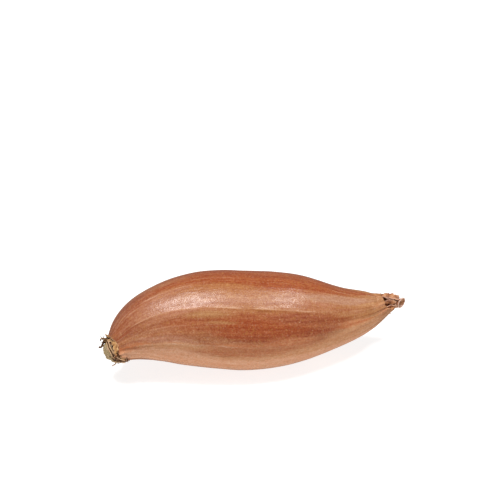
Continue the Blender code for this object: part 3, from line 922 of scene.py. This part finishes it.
def buildScraps():
    # the flake and the chosen strips, then rings of strips at even steps round, each shifted a little at
    # random and shorter the further it is from the highest place
    random = np.random.default_rng(21)
    parts = [flake()] + [scrap(500 + 10 * n, *row) for n, row in enumerate(scraps["chosen"])]
    top, fall = scraps["high"]
    for layer, (count, radius, foot, short, long, lean, curl, tint, raised) in enumerate(scraps["layers"]):
        for number in range(count):
            start = 360 * (number + random.uniform(-0.2, 0.2)) / count
            span = 360 / count * random.uniform(0.85, 1.25)
            past = np.degrees(between(np.radians(top), np.radians(start + span / 2)))
            row = (
                start, span, random.uniform(short, long) * (0.42 + 0.58 * bell(past, fall)),
                radius + random.uniform(-0.08, 0.08), foot, lean + random.uniform(-6, 8),
                curl * random.uniform(0.3, 1.6), tint + random.uniform(-0.2, 0.15), raised,
            )
            parts.append(scrap(1000 + 300 * layer + 10 * number, *row))
    return addPiece("collarScraps", *joined(parts), tornScrap, "torn_scrap", scraps["replaced"])


def tornScrapMaterial():
    material, start = newMaterial("tornScrap")
    tint, gone, turned = start.field("tint"), start.field("gone"), start.field("turned")
    weave = start.node("CombineXYZ", {}, {0: turned, 1: gone * 0.25}).noise(5.0, 3.0, 0.6)
    crumbs = start.place().noise(2600.0, 3.0, 0.65)
    colour = (tint + (weave - 0.5) * 0.6 + (crumbs - 0.5) * 0.2).tinted((
        (0.0, (0.070, 0.022, 0.009)), (0.3, (0.22, 0.075, 0.026)), (0.55, (0.42, 0.21, 0.075)),
        (0.78, (0.56, 0.345, 0.135)), (1.0, (0.76, 0.50, 0.31)),
    ))
    # painted shade: each strip darkens towards its foot, where the layers overlap
    colour = colour.mixed((0.13, 0.042, 0.016), gone.ramp(0.7, 0.1, 0.0, 0.6))
    colour = colour.mixed((0.76, 0.52, 0.36), start.field("edge") * weave.ramp(0.38, 0.55, 0.0, 0.5))
    normal = start.bump(weave + crumbs * 0.5, 0.00006)
    return surface(material, Base_Color=colour, Roughness=0.65, Normal=normal, Specular_IOR_Level=0.3)


tornScrap = tornScrapMaterial()
buildScraps()


roots = {
    # paths in mm in the frame of the root end, then thickness from and to, tint 0 dark to 1 pale
    "chosen": (
        (
            ((-2.1, 3.7, 0.6), (-2.9, 3.5, 1.4), (-3.1, 2.8, 2.5), (-3.1, 2.1, 3.6), (-3.6, 2.3, 4.1)),
            0.85, 0.60, 0.14,
        ),
        (
            ((-2.2, 3.2, 0.2), (-3.2, 3.4, 0.8), (-4.1, 3.6, 1.5), (-4.5, 3.5, 2.1), (-4.25, 3.2, 2.4)),
            0.66, 0.45, 0.42,
        ),
        (
            ((-0.2, -3.6, 1.6), (0.0, -4.2, 2.3), (0.3, -4.4, 3.0), (0.2, -4.45, 3.7), (0.0, -4.5, 4.2)),
            0.50, 0.28, 0.80,
        ),
        (((4.85, 0.4, 2.9), (5.15, -0.8, 1.8), (5.10, -2.1, 0.6), (4.75, -2.8, -0.5)), 0.62, 0.16, 0.10),
        (((4.55, 2.1, 2.85), (5.0, 1.0, 2.5), (5.3, -0.2, 1.8), (5.1, -1.3, 1.2)), 0.40, 0.24, 0.86),
        (((4.1, 0.4, 4.0), (4.6, -0.5, 2.9), (4.95, -1.5, 1.6)), 0.42, 0.34, 0.74),
        (
            (
                (-0.9, 4.2, 1.95), (0.55, 4.25, 2.6), (1.6, 4.0, 3.1), (2.6, 3.45, 3.4),
                (3.3, 2.75, 3.65), (3.85, 1.9, 3.85),
            ),
            0.34, 0.30, 0.78,
        ),
        (
            (
                (-0.9, 4.65, 1.25), (0.55, 4.7, 1.75), (1.65, 4.45, 2.3), (2.6, 4.0, 2.65),
                (3.4, 3.3, 2.85), (4.0, 2.6, 3.1),
            ),
            0.34, 0.26, 0.78,
        ),
        # painted shade: a dark thin tube laid in the gap between the two pale strips beside it
        (
            (
                (-0.9, 4.45, 1.55), (0.6, 4.5, 2.2), (1.65, 4.2, 2.75), (2.6, 3.7, 3.05),
                (3.35, 3.05, 3.3), (3.9, 2.2, 3.55),
            ),
            0.30, 0.26, 0.05,
        ),
        (((3.3, 2.2, 3.3), (3.6, 1.3, 3.9), (4.1, 0.2, 3.7)), 0.50, 0.34, 0.05),
        # partly a dark shred, partly painted shade of the gap just beyond the flake's right border
        (((4.3, 2.9, 1.9), (4.8, 2.3, 2.3), (5.3, 1.6, 2.0)), 0.70, 0.40, 0.04),
    ),
    # how many, clock from and to in degrees, height from and to, radius, length, thickness, tint
    "tufts": (
        (20, 104, 168, 0.5, 1.9, 4.0, 2.0, 0.40, 0.22),
        (14, -16, 26, 1.8, 3.3, 3.9, 1.3, 0.34, 0.14),
        (14, 150, 255, 0.3, 2.0, 3.95, 1.2, 0.26, 0.30),
        (5, 0, 360, 2.2, 2.6, 2.6, 0.8, 0.26, 0.38),
    ),
    "steps": 12, "rings": 18,  # along a fine root, and along a chosen one
    "replaced": tuple(f"dry_root_{n}" for n in range(1, 9)),
}


def wisp(random, clock, radius, height, length):
    # a path that leaves the plate's rim and turns a little more at each step
    steps = roots["steps"]
    outwards = np.array((np.cos(clock), np.sin(clock), random.uniform(-0.1, 0.9)))
    heading = outwards + random.normal(size=3) * 0.6
    bends = np.cumsum(random.normal(size=(steps, 3)) * 0.42, axis=0)
    ways = unit(unit(heading) + bends + random.normal(size=(steps, 3)) * 0.12)
    begin = np.array((radius * np.cos(clock), radius * np.sin(clock), height))
    return begin + np.concatenate((np.zeros((1, 3)), np.cumsum(ways, axis=0))) * length / steps


def buildRoots():
    # tubes along splines through the chosen paths, then random wisps that thin towards their tips
    parts = []
    for path, thick, thin, tint in roots["chosen"]:
        at, length = splineThrough(path)
        gone = np.linspace(0, length, roots["rings"])
        local = at(gone)[0] + 0.03 * np.stack([waves(70 + n, 1.1, gone) for n in range(3)], axis=-1)
        radius = np.linspace(thick, thin, roots["rings"]) / 2 * (1 + 0.15 * waves(80, 0.7, gone))
        parts.append(tube(placed(rootEnd, *local.T), radius, 9, tint=tint))
    random = np.random.default_rng(33)
    for count, first, last, low, high, away, long, thick, tint in roots["tufts"]:
        for _ in range(count):
            clock = np.radians(random.uniform(first, last))
            length = long * random.uniform(0.5, 1.4)
            path = wisp(random, clock, away * random.uniform(0.9, 1.1), random.uniform(low, high), length)
            radius = thick / 2 * random.uniform(0.6, 1.2) * np.linspace(1, 0.35, len(path))
            parts.append(tube(placed(rootEnd, *path.T), radius, 7, tint=tint + random.uniform(-0.18, 0.3)))
    return addPiece("dryRoots", *joined(parts), dryRoot, "dry_root", roots["replaced"])


def dryRootMaterial():
    material, start = newMaterial("dryRoot")
    crumbs = start.place().noise(3000.0, 3.0, 0.6)
    colour = (start.field("tint") + (crumbs - 0.5) * 0.35).tinted((
        (0.0, (0.070, 0.028, 0.011)), (0.3, (0.16, 0.078, 0.029)), (0.6, (0.36, 0.22, 0.100)),
        (1.0, (0.74, 0.46, 0.29)),
    ))
    normal = start.bump(crumbs, 0.00008)
    return surface(material, Base_Color=colour, Roughness=0.8, Normal=normal, Specular_IOR_Level=0.10)


dryRoot = dryRootMaterial()
buildRoots()


leaves = {
    "faces": (-13.0, 30.0),  # degrees, the way that the torn openings face
    "rows": 70, "columns": 110,
    "thickness": 0.20, "rim": 0.26,
    # loose shreds: a path along, up and back in mm, thickness and tint
    "shreds": (
        (((-2.9, -3.5, 0.3), (-1.9, -3.7, 0.1), (-1.3, -4.0, 0.0), (-0.75, -4.05, 0.1)), 0.50, 0.85),
        (((-3.6, -3.6, 0.0), (-2.8, -3.9, -0.2), (-2.2, -4.3, -0.2)), 0.30, 0.55),
        (((-0.6, 1.9, 0.2), (-0.2, 2.5, 0.0), (0.3, 2.7, 0.1)), 0.30, 0.70),
    ),
    "frays": (150, 176, 205, 224, 238, 262, 100, 70),  # degrees round the lip of its fine fibres
}
# Each leaf is an oval trough. Its stations hold the distance along the dry end, the height of its middle,
# how far back it lies, half its height, half its depth, mm, and the angles it runs from and to: 0 faces
# the opening, 90 is up and 180 the back. Then come how ragged its end is, how crumpled it is, its tint,
# how pale its rim is, the two directions of its oval (along, up, back) and the parts it replaces.
levelOval = ((0.0, 1.0, 0.0), (0.0, 0.0, -1.0))
troughs = {
    "neckLeafTop": (
        (
            (-6.2, -2.0, -0.3, 1.9, 1.8, 40, 262), (-4.2, -0.35, -0.1, 2.4, 1.9, 42, 262),
            (-3.3, 0.0, 0.0, 2.45, 1.8, 36, 262), (-2.3, 0.1, 0.05, 2.45, 1.75, 17, 262),
            (-1.2, 0.05, 0.1, 2.45, 1.7, 24, 262), (0.1, 0.0, 0.12, 2.3, 1.5, 14, 262),
            (1.0, -0.05, 0.15, 2.1, 1.3, 18, 262), (1.9, -0.1, 0.2, 1.6, 1.0, 26, 262),
        ),
        0.35, 0.8, 0.60, 0.35, levelOval, ("neck_leaf_top",),
    ),
    "neckLeafInner": (
        (
            (-5.8, -1.9, -0.4, 1.1, 1.1, 95, 352), (-3.8, -0.6, -0.25, 1.25, 1.35, 95, 354),
            (-2.6, -0.1, -0.15, 1.2, 1.4, 95, 380), (-0.6, -0.1, -0.05, 1.15, 1.35, 95, 390),
            (0.9, -0.2, 0.05, 0.95, 1.0, 95, 372),
        ),
        0.25, 0.5, 0.52, 0.30, levelOval, ("neck_leaf_inner",),
    ),
    "neckLeafLower": (
        (
            (-5.6, -2.6, -0.5, 1.4, 1.3, 205, 318), (-3.6, -1.2, -0.35, 1.6, 1.5, 205, 320),
            (-2.1, -0.6, -0.25, 1.6, 1.65, 205, 327), (-0.6, -0.5, -0.15, 1.6, 1.5, 205, 334),
            (1.0, -0.45, 0.0, 1.35, 1.2, 205, 328),
        ),
        0.30, 0.7, 0.74, 0.45, levelOval, ("neck_leaf_lower",),
    ),
    "neckRolledTip": (
        (
            (-0.9, -0.5, 0.5, 1.0, 0.7, -150, 218), (0.6, -0.55, 0.5, 1.15, 0.8, -150, 218),
            (1.7, -0.55, 0.4, 1.45, 1.1, -150, 214), (2.4, -0.52, 0.2, 1.68, 1.4, -150, 208),
            (2.75, -0.5, 0.05, 1.72, 1.5, -150, 204),
        ),
        0.0, 0.4, 0.62, 1.0, ((0.46, 0.89, 0.0), (-0.59, 0.30, -0.75)), ("neck_rolled_tip",),
    ),
}


def dryAxes():
    # the dry end's own axes, in mm space: along it, up and back from the opening
    toward = np.array(direction(*leaves["faces"]))
    along = unit(np.cross((0.0, 0.0, 1.0), toward))
    return np.stack((along, np.cross(toward, along), -toward))


def buildTrough(number, name, stations, ragged, crumpled, tint, pale, ways, replaced):
    # an oval trough carried along its stations, torn at its end, its free edges thickened
    at, length = splineThrough(stations)
    across = np.linspace(0, 1, leaves["columns"])[None, :]
    share = np.linspace(0, 1, leaves["rows"])[:, None]
    distance = length * share - ragged * (0.5 + 0.5 * waves(900 + number, 0.5, across, count=6)) * share**3
    along, up, back, high, deep, first, last = np.moveaxis(at(distance)[0], -1, 0)
    arc = 2 * np.radians(first + (last - first) * across)
    angle = arc / 2 + crumpled * np.radians(8) * waves(960 + number, 2.2, distance)
    crumple, small, shift = (
        high * waves(seed + number, size, arc, distance)
        for seed, size, high in ((910, 1.4, 0.08), (920, 0.5, 0.035), (930, 1.0, 0.08 * crumpled))
    )
    size = 1 + crumpled * (crumple + small)
    middle = np.stack((along + shift, up, back), axis=-1)
    upward = (high * size * np.sin(angle))[..., None] * np.array(ways[0])
    outward = (deep * size * np.cos(angle))[..., None] * np.array(ways[1])
    points = neckEnd[0] + (middle + upward + outward) @ dryAxes()
    border = np.minimum(np.minimum(across, 1 - across) * 8, (1 - share) * 8)
    rim = bell(np.clip(border, 0, 1), 0.42)
    fields = {"edge": pale * rim, "gone": distance, "turned": arc}
    fields["tint"] = tint + 0.25 * waves(940 + number, 1.6, arc, 0.6 * distance)
    part = sheet(points, leaves["thickness"] + leaves["rim"] * rim, **fields)
    return addPiece(name, *part, leafEnd, "leaf_end", replaced)


def leafEndMaterial():
    material, start = newMaterial("leafEnd")
    tint, gone, turned = start.field("tint"), start.field("gone"), start.field("turned")
    fibres = start.node("CombineXYZ", {}, {0: turned, 1: gone * 0.22}).noise(4.5, 3.0, 0.6)
    crumbs = start.place().noise(2400.0, 2.0, 0.6)
    # painted shade: the inner face of each leaf, turned into its hollow, is made a little darker
    shade = tint + (fibres - 0.5) * 0.6 + (crumbs - 0.5) * 0.2 - start.field("side") * 0.12
    colour = shade.tinted((
        (0.0, (0.12, 0.036, 0.014)), (0.35, (0.30, 0.105, 0.042)), (0.65, (0.48, 0.215, 0.092)),
        (1.0, (0.70, 0.44, 0.28)),
    ))
    # the pale rims are partly the leaves' own paler torn edges, partly a painted highlight where each
    # rolled rim catches the light
    colour = colour.mixed((0.82, 0.57, 0.46), start.field("edge") * 0.85)
    # painted shade deep in the neck: towards each leaf's inner end its colour is drawn to one warm brown,
    # kept light to stand in for light that comes through the thin leaves
    colour = colour.mixed((0.46, 0.19, 0.085), gone.ramp(1.9, 0.5, 0.0, 0.7))
    normal = start.bump(fibres + crumbs * 0.4, 0.00006)
    return surface(material, Base_Color=colour, Roughness=0.55, Normal=normal, Specular_IOR_Level=0.3)


leafEnd = leafEndMaterial()
for number, (name, trough) in enumerate(troughs.items()):
    buildTrough(number, name, *trough)


def buildShreds():
    # loose fibres: tubes along the chosen paths, then random wisps that start just under the torn lip
    random = np.random.default_rng(44)
    parts, marks = [], {"edge": 0.0, "gone": 5.0, "turned": 0.0}
    for path, thick, tint in leaves["shreds"]:
        at, length = splineThrough(path)
        local = at(np.linspace(0, length, 14))[0]
        radius = np.linspace(thick, 0.4 * thick, 14) / 2
        parts.append(tube(neckEnd[0] + local @ dryAxes(), radius, 8, tint=tint, **marks))
    for degrees in leaves["frays"]:
        clock = np.radians(degrees)
        along = skinLength - float(tornLip(clock)) - 0.2
        radius = float(skinRelief(np.array([[along]]), np.array([[clock]]))[0][0, 0]) - 0.1
        path = wisp(random, clock, radius, along - skinLength, random.uniform(0.7, 1.5))
        thick = 0.09 * np.linspace(1, 0.4, len(path))
        parts.append(tube(placed(neckEnd, *path.T), thick, 6, tint=random.uniform(0.4, 0.9), **marks))
    return addPiece("neckShreds", *joined(parts), leafEnd, "leaf_end", ("neck_shred",))


buildShreds()
